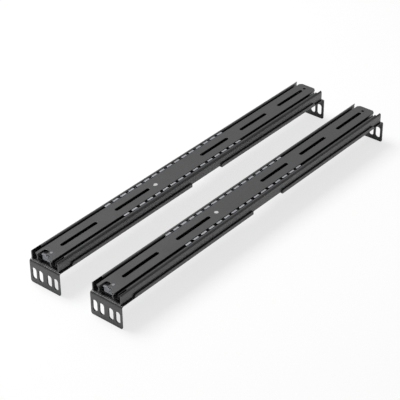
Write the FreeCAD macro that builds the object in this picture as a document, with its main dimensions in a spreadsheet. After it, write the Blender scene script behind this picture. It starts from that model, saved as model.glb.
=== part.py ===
import FreeCAD, Part
import math
import os
import Sketcher

# A pair of ball-bearing server rails, in millimetres.
# X runs across the rails, Y from the front flanges to the rear ones, Z up.
# The origin lies on the floor under the middle of the pair.
# Every rail is first described about its own centre line, with its front at Y = 0,
# and its sub-parts are then placed half a pitch to the left or to the right.

SIZES = [
    # the whole pair
    ("rail_length", 472.0, "front face of the front flange to rear face of the rear flange"),
    ("rail_pitch", 88.0, "centre line to centre line of the two rails"),
    # the brackets
    ("bracket_width", 44.0, "width of a flange and of a bracket's base"),
    ("bracket_sheet", 1.5, "sheet of the brackets"),
    ("bracket_bend", 1.5, "inside radius of the flange's bend"),
    ("flange_drop", 27.4, "flange's lower edge to the underside of the base"),
    ("flange_corner", 2.5, "radius of the flange's lower corners"),
    ("flange_slot_wide", 6.6, "width of a flange slot"),
    ("flange_slot_tall", 14.6, "height of a flange slot"),
    ("flange_slot_centre", 12.6, "height of the slots' centres above the lower edge"),
    ("flange_hole_near", 12.7, "distance between the two inner slots"),
    ("flange_hole_far", 31.75, "distance between the two outer slots"),
    ("wall_rise", 4.9, "height of a bracket's side wall, base included"),
    ("wall_start", 20.0, "flange face to the start of the side walls"),
    ("wall_corner", 3.0, "radius of the side walls' upper corners"),
    ("wall_bend", 1.2, "outside radius between base and side wall"),
    ("front_bracket_long", 216.0, "length of the front bracket"),
    ("rear_bracket_long", 202.0, "length of the rear bracket"),
    ("wall_play", 0.5, "play between a side wall and the outer member"),
    # studs and nuts
    ("stud_radius", 2.0, "shank of a clinch stud"),
    ("stud_head", 3.4, "head radius of a clinch stud"),
    ("stud_sink", 0.7, "thickness of a stud's head"),
    ("stud_play", 0.1, "radial play round a stud"),
    ("stud_tail", 5.4, "stud's length below the base"),
    ("nut_flats", 7.0, "nut across flats"),
    ("nut_thick", 3.2, "nut's thickness"),
    ("front_stud_first", 58.0, "flange face to the front bracket's first stud"),
    ("front_stud_gap", 120.0, "distance between the front bracket's studs"),
    ("rear_stud_first", 22.0, "rear flange face to the nearest stud"),
    ("rear_stud_gap", 90.0, "distance between the rear bracket's studs"),
    ("depth_travel", 70.0, "how far the rear bracket draws out"),
    # the outer member
    ("slide_thick", 12.7, "thickness of the slide"),
    ("front_setback", 1.6, "front flange face to the outer member's front end"),
    ("rear_setback", 3.4, "rear flange face to the outer member's rear end"),
    ("outer_sheet", 1.3, "sheet of the outer member"),
    ("outer_low_round", 1.5, "outside radius of the outer member's lower corners"),
    ("outer_top_round", 2.9, "outside radius of the outer member's upper corners"),
    ("lip_reach", 15.6, "centre line to the lip's inner face"),
    ("lip_drop", 3.4, "height of the turned-down lip"),
    ("lip_round", 1.4, "outside radius of the lip's bend"),
    ("lip_cut_front", 12.0, "how far the lips are cut back at the front"),
    ("lip_cut_rear", 8.0, "how far the lips are cut back at the rear"),
    ("lip_stub", 0.3, "what a cut leaves of the lips beside the walls"),
    # the intermediate member
    ("middle_sheet", 1.2, "sheet of the intermediate member"),
    ("middle_reach", 14.4, "centre line to the intermediate member's side"),
    ("middle_lift", 2.4, "underside of its base above that of the outer member"),
    ("middle_top", 10.2, "its rim above the outer member's underside"),
    ("middle_groove", 0.9, "depth of its ball groove"),
    ("middle_flat", 1.1, "half the height of its ball groove's flat"),
    ("middle_front", 3.0, "outer member's front end to its own"),
    # the outer balls and their cage
    ("outer_ball", 2.3, "radius of an outer ball"),
    ("outer_ball_high", 4.9, "ball centres above the outer member's underside"),
    ("outer_cage_sheet", 0.5, "sheet of the outer cage"),
    ("outer_cage_gap", 0.4, "gap between the cage and the intermediate member"),
    ("outer_cage_top", 12.5, "top of the cage's rim"),
    ("outer_cage_rim", 2.4, "width of the cage's rim"),
    ("outer_cage_low", 1.6, "underside of the cage's web"),
    ("outer_cage_start", 110.0, "flange face to the front of the outer cage"),
    ("outer_cage_lead", 10.4, "either end of the cage to the nearest window"),
    ("outer_cage_pitch", 13.0, "pitch of the cage's windows"),
    ("outer_window", 2.6, "radius of a ball window"),
    ("rim_notch_long", 5.0, "length of a notch in the rim"),
    ("rim_notch_deep", 1.5, "depth of a notch in the rim"),
    # the inner member
    ("inner_sheet", 1.2, "sheet of the inner member"),
    ("inner_reach", 12.15, "half the width of its plate"),
    ("inner_edge", 1.4, "height of the plate's folded edge"),
    ("inner_groove", 2.15, "depth of its ball groove"),
    ("inner_groove_tall", 2.45, "height of the groove's flat"),
    ("inner_foot", 1.1, "reach of the foot below the groove"),
    ("inner_foot_tall", 0.8, "height of the foot's edge"),
    ("inner_front", 0.5, "flange face to the plate's front end"),
    ("inner_rear", 4.5, "rear flange face to the plate's rear end"),
    ("plate_slot_wide", 4.6, "width of the plate's slots"),
    ("front_slot_long", 56.0, "length of the two front slots"),
    ("rear_slot_long", 50.0, "length of the three rear slots"),
    ("front_slot_first", 54.0, "flange face to the first slot's centre"),
    ("front_slot_gap", 85.0, "distance between the front slots"),
    ("rear_slot_last", 38.5, "plate's rear end to the last slot's centre"),
    ("rear_slot_gap", 73.5, "distance between the rear slots"),
    ("plate_hole", 1.9, "radius of the hole near the plate's rear end"),
    ("plate_hole_back", 8.5, "plate's rear end to that hole"),
    ("plate_chamfer", 3.0, "chamfer of the plate's rear corners"),
    ("notch_left", 8.5, "centre line to the left side of the front notch"),
    ("notch_right", 5.0, "centre line to the right side of the front notch"),
    ("notch_deep", 11.0, "depth of the front notch on the left"),
    ("notch_step", 1.2, "centre line to the notch's step"),
    ("notch_shallow", 4.6, "depth of the front notch on the right"),
    ("notch_round", 2.5, "radius of the notch's corner"),
    # the inner balls and their cage
    ("inner_ball", 1.35, "radius of an inner ball"),
    ("inner_ball_high", 8.1, "ball centres above the outer member's underside"),
    ("inner_cage_sheet", 0.5, "sheet of the inner cage"),
    ("inner_cage_low", 3.9, "underside of the inner cage's web"),
    ("inner_cage_top", 10.1, "top edge of the inner cage"),
    ("inner_cage_gap", 0.35, "gap between the inner cage and the groove beside it"),
    ("inner_cage_start", 130.0, "flange face to the front of the inner cage"),
    ("inner_cage_pitch", 20.0, "pitch of the inner cage's windows"),
    ("inner_window", 1.65, "radius of a ball window in the inner cage"),
    # the release lever and the other small pieces
    ("lever_thick", 1.4, "thickness of the lever"),
    ("lever_gap", 0.3, "gap between the lever and the plate"),
    ("lever_half", 7.0, "half the width of the lever's head"),
    ("lever_neck", 4.5, "half the width of the lever's tail"),
    ("lever_front", 3.6, "plate's front end to the lever's front"),
    ("lever_head", 11.0, "length of the lever's head"),
    ("lever_long", 20.0, "length of the lever"),
    ("lever_tab_wide", 11.0, "width of the finger tab"),
    ("lever_tab_tall", 6.2, "height of the finger tab"),
    ("lever_round", 2.0, "radius of the lever's corners"),
    ("pin_across", 1.2, "centre line to the lever's pin"),
    ("pin_back", 10.2, "plate's front end to the lever's pin"),
    ("pin_radius", 1.0, "radius of the rivets' shanks"),
    ("pin_play", 0.1, "radial play round a rivet"),
    ("pin_head", 1.7, "radius of the lever pin's heads"),
    ("pin_head_thick", 0.7, "thickness of the rivets' heads"),
    ("guide_back", 178.0, "flange face to the guide block's centre"),
    ("guide_half", 6.0, "half the length and width of the guide block"),
    ("guide_tall", 6.4, "height of the guide block"),
    ("guide_corner", 1.5, "radius of the guide block's corners"),
    ("guide_head", 2.4, "radius of the guide rivet's head"),
    ("guide_grip", 4.5, "how far the guide rivet reaches into the block"),
    ("guide_hole", 5.1, "depth of the hole for it"),
    ("bumper_wide", 22.0, "width of the rear bumper"),
    ("bumper_long", 8.0, "length of the rear bumper"),
    ("bumper_tall", 3.0, "height of the rear bumper"),
    ("bumper_corner", 2.0, "radius of the rear bumper's corners"),
    ("bumper_gap", 0.4, "gap between the bumper and the intermediate member"),
    ("cut_over", 1.0, "how far a cut runs on past the edge that it opens"),
]

OUTER_WINDOWS = 15
INNER_WINDOWS = 8
NUT_SIDES = 6
RAILS = {"left": -1, "right": 1}


class Size:
    """A length that knows its number and the sheet formula behind it."""

    def __init__(self, number, formula):
        self.number = number
        self.formula = formula

    def __add__(self, other):
        other = as_size(other)
        return Size(self.number + other.number, f"({self.formula} + {other.formula})")

    def __sub__(self, other):
        other = as_size(other)
        return Size(self.number - other.number, f"({self.formula} - {other.formula})")

    def __mul__(self, factor):
        return Size(self.number * factor, f"({self.formula} * {factor})")

    def __neg__(self):
        return Size(-self.number, f"(0 - {self.formula})")


def as_size(value):
    """Turn a plain number into a Size."""
    if isinstance(value, Size):
        return value
    return Size(float(value), f"({float(value)})")


class Sheet:
    """The driving dimensions, written to a spreadsheet and read back as Sizes."""

    def __init__(self, doc):
        self.cells = doc.addObject("Spreadsheet::Sheet", "Sizes")
        for row, (alias, value, note) in enumerate(SIZES, start=1):
            self.cells.set(f"A{row}", note)
            self.cells.set(f"B{row}", str(value))
            self.cells.setAlias(f"B{row}", alias)
        doc.recompute()

    def __getattr__(self, alias):
        return Size(float(getattr(self.cells, alias)), f"Sizes.{alias}")


# ---------------------------------------------------------------- modelling helpers


def new_body(doc, rail, name):
    """Make the body of one sub-part of one rail."""
    body = doc.addObject("PartDesign::Body", f"{rail}_{name}")
    body.Label = f"{rail}_{name}"
    return body


def new_sketch(body, name, plane, height=None):
    """Make a sketch on an origin plane, moved along that plane's normal."""
    sketch = body.newObject("Sketcher::SketchObject", name)
    for feature in body.Origin.OriginFeatures:
        if feature.Role == plane:
            sketch.AttachmentSupport = (feature, [""])
    sketch.MapMode = "FlatFace"
    if height is not None:
        sketch.setExpression("AttachmentOffset.Base.z", height.formula)
    return sketch


def pin_point(sketch, geometry, point, across, along):
    """Hold a point of the sketch at sheet-driven coordinates."""
    for kind, size in (("DistanceX", across), ("DistanceY", along)):
        constraint = Sketcher.Constraint(kind, -1, 1, geometry, point, size.number)
        index = sketch.addConstraint(constraint)
        sketch.setExpression(f"Constraints[{index}]", size.formula)


def draw_outline(sketch, corners):
    """Draw a closed outline through the corners."""
    first = sketch.GeometryCount
    count = len(corners)
    for index, (across, along) in enumerate(corners):
        next_across, next_along = corners[(index + 1) % count]
        start = FreeCAD.Vector(across.number, along.number, 0)
        end = FreeCAD.Vector(next_across.number, next_along.number, 0)
        sketch.addGeometry(Part.LineSegment(start, end))
    for index in range(count):
        after = first + (index + 1) % count
        sketch.addConstraint(Sketcher.Constraint("Coincident", first + index, 2, after, 1))
    for index, (across, along) in enumerate(corners):
        pin_point(sketch, first + index, 1, across, along)


def draw_box(sketch, low_across, high_across, low_along, high_along):
    """Draw a rectangle."""
    corners = [
        (low_across, low_along),
        (high_across, low_along),
        (high_across, high_along),
        (low_across, high_along),
    ]
    draw_outline(sketch, corners)


def draw_circle(sketch, across, along, radius):
    """Draw a circle."""
    centre = FreeCAD.Vector(across.number, along.number, 0)
    index = sketch.addGeometry(Part.Circle(centre, FreeCAD.Vector(0, 0, 1), radius.number))
    constraint = sketch.addConstraint(Sketcher.Constraint("Radius", index, radius.number))
    sketch.setExpression(f"Constraints[{constraint}]", radius.formula)
    pin_point(sketch, index, 3, across, along)


def draw_slot(sketch, across, along, length, width):
    """Draw a round-ended slot that runs along the sketch's second axis."""
    radius = width * 0.5
    half = length * 0.5 - radius
    centres = [along + half, along - half]
    turns = [(0.0, math.pi), (math.pi, 2 * math.pi)]
    first = sketch.GeometryCount
    for centre, (start, end) in zip(centres, turns):
        middle = FreeCAD.Vector(across.number, centre.number, 0)
        circle = Part.Circle(middle, FreeCAD.Vector(0, 0, 1), radius.number)
        sketch.addGeometry(Part.ArcOfCircle(circle, start, end))
    for side in (-1, 1):
        edge = across.number + side * radius.number
        top = FreeCAD.Vector(edge, centres[0].number, 0)
        low = FreeCAD.Vector(edge, centres[1].number, 0)
        ends = (top, low) if side < 0 else (low, top)
        sketch.addGeometry(Part.LineSegment(*ends))
    upper, lower, left, right = range(first, first + 4)
    joints = [(upper, 2, left, 1), (left, 2, lower, 1), (lower, 2, right, 1), (right, 2, upper, 1)]
    for joint in joints:
        sketch.addConstraint(Sketcher.Constraint("Tangent", *joint))
    for arc, centre in ((upper, centres[0]), (lower, centres[1])):
        pin_point(sketch, arc, 3, across, centre)
    constraint = sketch.addConstraint(Sketcher.Constraint("Radius", upper, radius.number))
    sketch.setExpression(f"Constraints[{constraint}]", radius.formula)


def add_pad(body, sketch, length, both_ways=False, reverse=False):
    """Pad a sketch."""
    pad = body.newObject("PartDesign::Pad", "Pad")
    pad.Profile = sketch
    pad.Length = length.number
    pad.setExpression("Length", length.formula)
    pad.Reversed = reverse
    if both_ways:
        pad.SideType = "Symmetric"
    return pad


def add_pocket(body, sketch, length, reverse=False, both_ways=False):
    """Cut a sketch out of the body and make sure that it cuts."""
    before = body_volume(body)
    pocket = body.newObject("PartDesign::Pocket", "Pocket")
    pocket.Profile = sketch
    pocket.Length = length.number
    pocket.setExpression("Length", length.formula)
    pocket.Reversed = reverse
    if both_ways:
        pocket.SideType = "Symmetric"
    if body_volume(body) >= before:
        raise RuntimeError(f"{body.Label}: a pocket cuts nothing")
    return pocket


def body_volume(body):
    """Volume of the body as built so far."""
    body.Document.recompute()
    return body.Tip.Shape.Volume


def add_pattern(body, feature, pitch, count):
    """Repeat a feature along Y."""
    before = body_volume(body)
    pattern = body.newObject("PartDesign::LinearPattern", "Pattern")
    pattern.Originals = [feature]
    for axis in body.Origin.OriginFeatures:
        if axis.Role == "Y_Axis":
            pattern.Direction = (axis, [""])
    span = pitch * (count - 1)
    pattern.Length = span.number
    pattern.setExpression("Length", span.formula)
    pattern.Occurrences = count
    body.Tip = pattern
    if body_volume(body) >= before:
        raise RuntimeError(f"{body.Label}: a pattern cuts nothing")


def edges_at(shape, direction, places):
    """Names of the straight edges along a direction that stand at the given places."""
    others = [axis for axis in range(3) if axis != direction]
    names = []
    for number, edge in enumerate(shape.Edges, start=1):
        if edge.Curve.TypeId != "Part::GeomLine" or len(edge.Vertexes) != 2:
            continue
        start, end = (vertex.Point for vertex in edge.Vertexes)
        straight = all(abs(start[axis] - end[axis]) < 1e-6 for axis in others)
        here = [start[axis] for axis in others]
        for place in places:
            reach = [abs(value - size.number) for value, size in zip(here, place)]
            if straight and max(reach) < 1e-4:
                names.append(f"Edge{number}")
    return names


def add_round(body, direction, places, radius):
    """Round the edges along a direction that stand at the given places."""
    body.Document.recompute()
    base = body.Tip
    names = edges_at(base.Shape, direction, places)
    if not names:
        raise RuntimeError(f"{body.Label}: no edge to round")
    fillet = body.newObject("PartDesign::Fillet", "Round")
    fillet.Base = (base, names)
    fillet.Radius = radius.number
    fillet.setExpression("Radius", radius.formula)
    body.Document.recompute()


def both_sides(half):
    """Mirror half of a closed section to the other side of the centre line."""
    mirrored = [(-across, along) for across, along in reversed(half)]
    return half + mirrored


def put_in_rail(item, sheet, rail):
    """Place a sub-part in its rail."""
    across = sheet.rail_pitch * (0.5 * RAILS[rail])
    along = sheet.rail_length * -0.5
    item.Placement.Base = FreeCAD.Vector(across.number, along.number, 0)
    item.setExpression("Placement.Base.x", across.formula)
    item.setExpression("Placement.Base.y", along.formula)
    return item


def add_shape(doc, sheet, rail, name, solids):
    """Keep a group of equal loose pieces as one sub-part."""
    item = doc.addObject("Part::Feature", f"{rail}_{name}")
    item.Label = f"{rail}_{name}"
    item.Shape = Part.makeCompound(solids)
    return put_in_rail(item, sheet, rail)


# ---------------------------------------------------------------- shared levels


def slide_floor(sheet):
    """Height of the outer member's underside."""
    return sheet.flange_drop + sheet.bracket_sheet


def outer_reach(sheet):
    """Centre line to the outer member's side."""
    return sheet.bracket_width * 0.5 - sheet.bracket_sheet - sheet.wall_play


def middle_length(sheet):
    """Length of the intermediate member, which ends just ahead of the bumper."""
    front = sheet.front_setback + sheet.middle_front
    rear = sheet.rear_setback + sheet.bumper_long + sheet.bumper_gap
    return sheet.rail_length - front - rear


def plate_rear(sheet):
    """Front flange's face to the plate's rear end."""
    return sheet.rail_length - sheet.inner_rear


def stud_places(sheet, end):
    """Distances of one bracket's studs from the front flange's face."""
    if end == "front":
        first = sheet.front_stud_first
        return [first, first + sheet.front_stud_gap]
    first = sheet.rail_length - sheet.rear_stud_first
    return [first, first - sheet.rear_stud_gap]


def pin_place(sheet):
    """Where the lever's pin stands."""
    return sheet.pin_across, sheet.inner_front + sheet.pin_back


# ---------------------------------------------------------------- brackets


def build_bracket(doc, sheet, rail, end):
    """Sheet base under the slide, low side walls, and a flange bent down at one end."""
    body = new_body(doc, rail, f"{end}_bracket")
    long = sheet.front_bracket_long if end == "front" else sheet.rear_bracket_long

    def station(distance):
        """Distance from this bracket's flange, measured from the front flange's face."""
        return distance if end == "front" else sheet.rail_length - distance

    face = as_size(0)
    floor = slide_floor(sheet)
    half = sheet.bracket_width * 0.5
    side = new_sketch(body, "SideView", "YZ_Plane")
    corners = [
        (station(face), face),
        (station(face + sheet.bracket_sheet), face),
        (station(face + sheet.bracket_sheet), sheet.flange_drop),
        (station(long), sheet.flange_drop),
        (station(long), floor),
        (station(face), floor),
    ]
    draw_outline(side, corners)
    add_pad(body, side, sheet.bracket_width, both_ways=True)
    wall_top = sheet.flange_drop + sheet.wall_rise
    for edge_in, edge_out in ((-half, -half + sheet.bracket_sheet), (half - sheet.bracket_sheet, half)):
        wall = new_sketch(body, "WallPlan", "XY_Plane", sheet.flange_drop)
        draw_box(wall, edge_in, edge_out, station(sheet.wall_start), station(long))
        add_pad(body, wall, sheet.wall_rise)
    outer_bend = sheet.bracket_bend + sheet.bracket_sheet
    add_round(body, 0, [(station(face), floor)], outer_bend)
    inner_bend = (station(face + sheet.bracket_sheet), sheet.flange_drop)
    add_round(body, 0, [inner_bend], sheet.bracket_bend)
    add_round(body, 0, [(station(sheet.wall_start), wall_top)], sheet.wall_corner)
    add_round(body, 1, [(-half, face), (half, face)], sheet.flange_corner)
    add_round(body, 1, [(-half, sheet.flange_drop), (half, sheet.flange_drop)], sheet.wall_bend)
    cut_flange_slots(body, sheet, station)
    cut_stud_holes(body, sheet, end)
    return put_in_rail(body, sheet, rail)


def cut_flange_slots(body, sheet, station):
    """Four upright slots in the flange, on the rack's hole spacing."""
    near = sheet.flange_hole_near * 0.5
    far = sheet.flange_hole_far * 0.5
    middle = station(sheet.bracket_sheet * 0.5)
    plan = new_sketch(body, "FlangeSlots", "XZ_Plane", -middle)
    for across in (-far, -near, near, far):
        draw_slot(plan, across, sheet.flange_slot_centre, sheet.flange_slot_tall, sheet.flange_slot_wide)
    add_pocket(body, plan, sheet.bracket_sheet * 3, both_ways=True)


def cut_stud_holes(body, sheet, end):
    """Round holes in the front base, and long slots for the depth in the rear base."""
    plan = new_sketch(body, "StudHoles", "XY_Plane", slide_floor(sheet) - sheet.bracket_sheet * 0.5)
    radius = sheet.stud_radius + sheet.stud_play
    centre = as_size(0)
    for place in stud_places(sheet, end):
        if end == "front":
            draw_circle(plan, centre, place, radius)
        else:
            middle = place - sheet.depth_travel * 0.5
            draw_slot(plan, centre, middle, sheet.depth_travel + radius * 2, radius * 2)
    add_pocket(body, plan, sheet.bracket_sheet * 3, both_ways=True)


# ---------------------------------------------------------------- members


def build_outer_member(doc, sheet, rail):
    """Roll-formed C section with turned-down lips, cut back at both ends."""
    body = new_body(doc, rail, "outer_member")
    floor = slide_floor(sheet)
    top = floor + sheet.slide_thick
    reach = outer_reach(sheet)
    inside = reach - sheet.outer_sheet
    lip_out = sheet.lip_reach + sheet.outer_sheet
    lip_low = top - sheet.lip_drop
    under_lip = top - sheet.outer_sheet
    web = floor + sheet.outer_sheet
    half = [
        (reach, floor),
        (reach, top),
        (sheet.lip_reach, top),
        (sheet.lip_reach, lip_low),
        (lip_out, lip_low),
        (lip_out, under_lip),
        (inside, under_lip),
        (inside, web),
    ]
    front = sheet.front_setback
    rear = sheet.rail_length - sheet.rear_setback
    section = new_sketch(body, "Section", "XZ_Plane", -front)
    draw_outline(section, both_sides(half))
    add_pad(body, section, rear - front, reverse=True)
    add_round(body, 1, [(-reach, floor), (reach, floor)], sheet.outer_low_round)
    add_round(body, 1, [(-inside, web), (inside, web)], sheet.outer_low_round - sheet.outer_sheet)
    add_round(body, 1, [(-reach, top), (reach, top)], sheet.outer_top_round)
    upper = [(-inside, under_lip), (inside, under_lip)]
    add_round(body, 1, upper, sheet.outer_top_round - sheet.outer_sheet)
    add_round(body, 1, [(-sheet.lip_reach, top), (sheet.lip_reach, top)], sheet.lip_round)
    cut_from = inside - sheet.lip_stub
    front_cut = (as_size(0), front + sheet.lip_cut_front)
    rear_cut = (rear - sheet.lip_cut_rear, sheet.rail_length)
    for low, high in (front_cut, rear_cut):
        cut = new_sketch(body, "LipCut", "XY_Plane", lip_low - sheet.outer_sheet)
        draw_box(cut, -cut_from, cut_from, low, high)
        add_pocket(body, cut, sheet.slide_thick, reverse=True)
    holes = new_sketch(body, "StudHoles", "XY_Plane", floor + sheet.outer_sheet * 0.5)
    sinks = new_sketch(body, "StudSinks", "XY_Plane", web)
    centre = as_size(0)
    for end in ("front", "rear"):
        for place in stud_places(sheet, end):
            draw_circle(holes, centre, place, sheet.stud_radius + sheet.stud_play)
            draw_circle(sinks, centre, place, sheet.stud_head + sheet.stud_play)
    add_pocket(body, holes, sheet.outer_sheet * 2, both_ways=True)
    add_pocket(body, sinks, sheet.stud_sink)
    return put_in_rail(body, sheet, rail)


def build_intermediate_member(doc, sheet, rail):
    """Channel whose sides are pressed in, which makes the outer balls' groove."""
    body = new_body(doc, rail, "intermediate_member")
    base = slide_floor(sheet)
    low = base + sheet.middle_lift
    web = low + sheet.middle_sheet
    rim = base + sheet.middle_top
    reach = sheet.middle_reach
    bed = reach - sheet.middle_groove
    middle = base + sheet.outer_ball_high
    flat_low = middle - sheet.middle_flat
    flat_high = middle + sheet.middle_flat
    inside = reach - sheet.middle_sheet
    bulge = bed - sheet.middle_sheet
    turn = sheet.middle_sheet * (math.sqrt(2) - 1)
    half = [
        (reach, low),
        (reach, flat_low - sheet.middle_groove),
        (bed, flat_low),
        (bed, flat_high),
        (reach, flat_high + sheet.middle_groove),
        (reach, rim),
        (inside, rim),
        (inside, flat_high + sheet.middle_groove + turn),
        (bulge, flat_high + turn),
        (bulge, web),
    ]
    start = sheet.front_setback + sheet.middle_front
    section = new_sketch(body, "Section", "XZ_Plane", -start)
    draw_outline(section, both_sides(half))
    add_pad(body, section, middle_length(sheet), reverse=True)
    return put_in_rail(body, sheet, rail)


def build_inner_member(doc, sheet, rail):
    """Plate with grooved sides, long slots and a notch for the lever."""
    body = new_body(doc, rail, "inner_member")
    top = slide_floor(sheet) + sheet.slide_thick
    under = top - sheet.inner_sheet
    reach = sheet.inner_reach
    bed = reach - sheet.inner_groove
    edge = top - sheet.inner_edge
    flat_high = edge - sheet.inner_groove
    flat_low = flat_high - sheet.inner_groove_tall
    foot = bed + sheet.inner_foot
    foot_top = flat_low - sheet.inner_foot
    foot_low = foot_top - sheet.inner_foot_tall
    turn = sheet.inner_sheet * (math.sqrt(2) - 1)
    inside = bed - sheet.inner_sheet
    half = [
        (reach, top),
        (reach, edge),
        (bed, flat_high),
        (bed, flat_low),
        (foot, foot_top),
        (foot, foot_low),
        (foot - sheet.inner_sheet, foot_low),
        (foot - sheet.inner_sheet, foot_top - turn),
        (inside, flat_low - turn),
        (inside, flat_high + turn),
        (inside + (under - flat_high) - turn, under),
    ]
    section = new_sketch(body, "Section", "XZ_Plane", -sheet.inner_front)
    draw_outline(section, both_sides(half))
    add_pad(body, section, plate_rear(sheet) - sheet.inner_front, reverse=True)
    cut_plate(body, sheet, top)
    return put_in_rail(body, sheet, rail)


def cut_plate(body, sheet, top):
    """Slots, holes, front notch and rear corners of the plate."""
    centre = as_size(0)
    front = sheet.inner_front
    rear = plate_rear(sheet)
    middle = top - sheet.inner_sheet * 0.5
    plan = new_sketch(body, "PlateSlots", "XY_Plane", middle)
    for number in range(2):
        place = sheet.front_slot_first + sheet.front_slot_gap * number
        draw_slot(plan, centre, place, sheet.front_slot_long, sheet.plate_slot_wide)
    for number in range(3):
        place = rear - sheet.rear_slot_last - sheet.rear_slot_gap * number
        draw_slot(plan, centre, place, sheet.rear_slot_long, sheet.plate_slot_wide)
    draw_circle(plan, centre, rear - sheet.plate_hole_back, sheet.plate_hole)
    pin_across, pin_along = pin_place(sheet)
    draw_circle(plan, pin_across, pin_along, sheet.pin_radius + sheet.pin_play)
    draw_circle(plan, centre, sheet.guide_back, sheet.pin_radius + sheet.pin_play)
    add_pocket(body, plan, sheet.inner_sheet * 2, both_ways=True)
    sinks = new_sketch(body, "RivetSinks", "XY_Plane", top)
    draw_circle(sinks, pin_across, pin_along, sheet.pin_head + sheet.pin_play)
    draw_circle(sinks, centre, sheet.guide_back, sheet.guide_head + sheet.pin_play)
    add_pocket(body, sinks, sheet.pin_head_thick)
    notch = new_sketch(body, "Notch", "XY_Plane", middle)
    corners = [
        (-sheet.notch_left, front - sheet.cut_over),
        (sheet.notch_right, front - sheet.cut_over),
        (sheet.notch_right, front + sheet.notch_shallow),
        (-sheet.notch_step, front + sheet.notch_shallow),
        (-sheet.notch_step, front + sheet.notch_deep),
        (-sheet.notch_left, front + sheet.notch_deep),
    ]
    draw_outline(notch, corners)
    add_pocket(body, notch, sheet.inner_sheet * 2, both_ways=True)
    deep = front + sheet.notch_deep
    add_round(body, 2, [(-sheet.notch_left, deep), (-sheet.notch_step, deep)], sheet.notch_round)
    for side in (-1, 1):
        corner = new_sketch(body, "RearCorner", "XY_Plane", top)
        edge = sheet.inner_reach * side
        beyond = (sheet.inner_reach + sheet.cut_over) * side
        inset = (sheet.inner_reach - sheet.plate_chamfer) * side
        outline = [
            (inset, rear + sheet.cut_over),
            (inset, rear),
            (edge, rear - sheet.plate_chamfer),
            (beyond, rear - sheet.plate_chamfer),
            (beyond, rear + sheet.cut_over),
        ]
        draw_outline(corner, outline)
        add_pocket(body, corner, sheet.slide_thick)


# ---------------------------------------------------------------- balls and cages


def outer_ball_reach(sheet):
    """Centre line to the outer balls' centres, midway between their two tracks."""
    wall = outer_reach(sheet) - sheet.outer_sheet
    bed = sheet.middle_reach - sheet.middle_groove
    return (wall + bed) * 0.5


def inner_ball_reach(sheet):
    """Centre line to the inner balls' centres, midway between their two tracks."""
    wall = sheet.middle_reach - sheet.middle_sheet
    bed = sheet.inner_reach - sheet.inner_groove
    return (wall + bed) * 0.5


def build_outer_cage(doc, sheet, rail):
    """U-shaped retainer with ball windows and an inward rim notched above them."""
    body = new_body(doc, rail, "outer_ball_cage")
    floor = slide_floor(sheet)
    inner_face = sheet.middle_reach + sheet.outer_cage_gap
    outer_face = inner_face + sheet.outer_cage_sheet
    low = floor + sheet.outer_cage_low
    top = floor + sheet.outer_cage_top
    half = [
        (outer_face, low),
        (outer_face, top),
        (outer_face - sheet.outer_cage_rim, top),
        (outer_face - sheet.outer_cage_rim, top - sheet.outer_cage_sheet),
        (inner_face, top - sheet.outer_cage_sheet),
        (inner_face, low + sheet.outer_cage_sheet),
    ]
    section = new_sketch(body, "Section", "XZ_Plane", -sheet.outer_cage_start)
    draw_outline(section, both_sides(half))
    length = sheet.outer_cage_lead * 2 + sheet.outer_cage_pitch * (OUTER_WINDOWS - 1)
    add_pad(body, section, length, reverse=True)
    first = sheet.outer_cage_start + sheet.outer_cage_lead
    notches = new_sketch(body, "RimNotches", "XY_Plane", top)
    low_edge = first - sheet.rim_notch_long * 0.5
    high_edge = first + sheet.rim_notch_long * 0.5
    clear = outer_face + sheet.cut_over
    within = outer_face - sheet.outer_cage_rim - sheet.cut_over
    draw_box(notches, -clear, -within, low_edge, high_edge)
    draw_box(notches, within, clear, low_edge, high_edge)
    notch = add_pocket(body, notches, sheet.rim_notch_deep)
    add_pattern(body, notch, sheet.outer_cage_pitch, OUTER_WINDOWS)
    windows = new_sketch(body, "Windows", "YZ_Plane")
    draw_circle(windows, first, floor + sheet.outer_ball_high, sheet.outer_window)
    window = add_pocket(body, windows, outer_face * 3, both_ways=True)
    add_pattern(body, window, sheet.outer_cage_pitch, OUTER_WINDOWS)
    return put_in_rail(body, sheet, rail)


def build_inner_cage(doc, sheet, rail):
    """U-shaped retainer between the inner and the intermediate member."""
    body = new_body(doc, rail, "inner_ball_cage")
    floor = slide_floor(sheet)
    bulge = sheet.middle_reach - sheet.middle_groove - sheet.middle_sheet
    outer_face = bulge - sheet.inner_cage_gap
    inner_face = outer_face - sheet.inner_cage_sheet
    low = floor + sheet.inner_cage_low
    top = floor + sheet.inner_cage_top
    half = [
        (outer_face, low),
        (outer_face, top),
        (inner_face, top),
        (inner_face, low + sheet.inner_cage_sheet),
    ]
    section = new_sketch(body, "Section", "XZ_Plane", -sheet.inner_cage_start)
    draw_outline(section, both_sides(half))
    add_pad(body, section, sheet.inner_cage_pitch * INNER_WINDOWS, reverse=True)
    first = sheet.inner_cage_start + sheet.inner_cage_pitch * 0.5
    windows = new_sketch(body, "Windows", "YZ_Plane")
    draw_circle(windows, first, floor + sheet.inner_ball_high, sheet.inner_window)
    window = add_pocket(body, windows, outer_face * 3, both_ways=True)
    add_pattern(body, window, sheet.inner_cage_pitch, INNER_WINDOWS)
    return put_in_rail(body, sheet, rail)


def build_balls(doc, sheet, rail, name, reach, high, radius, places):
    """One set of balls, both sides of the rail."""
    solids = []
    for side in (-1, 1):
        for place in places:
            centre = FreeCAD.Vector(reach.number * side, place.number, high.number)
            solids.append(Part.makeSphere(radius.number, centre))
    return add_shape(doc, sheet, rail, name, solids)


def build_outer_balls(doc, sheet, rail):
    """Balls between the outer and the intermediate member."""
    first = sheet.outer_cage_start + sheet.outer_cage_lead
    places = [first + sheet.outer_cage_pitch * number for number in range(OUTER_WINDOWS)]
    high = slide_floor(sheet) + sheet.outer_ball_high
    return build_balls(doc, sheet, rail, "outer_balls", outer_ball_reach(sheet), high,
                       sheet.outer_ball, places)


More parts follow.
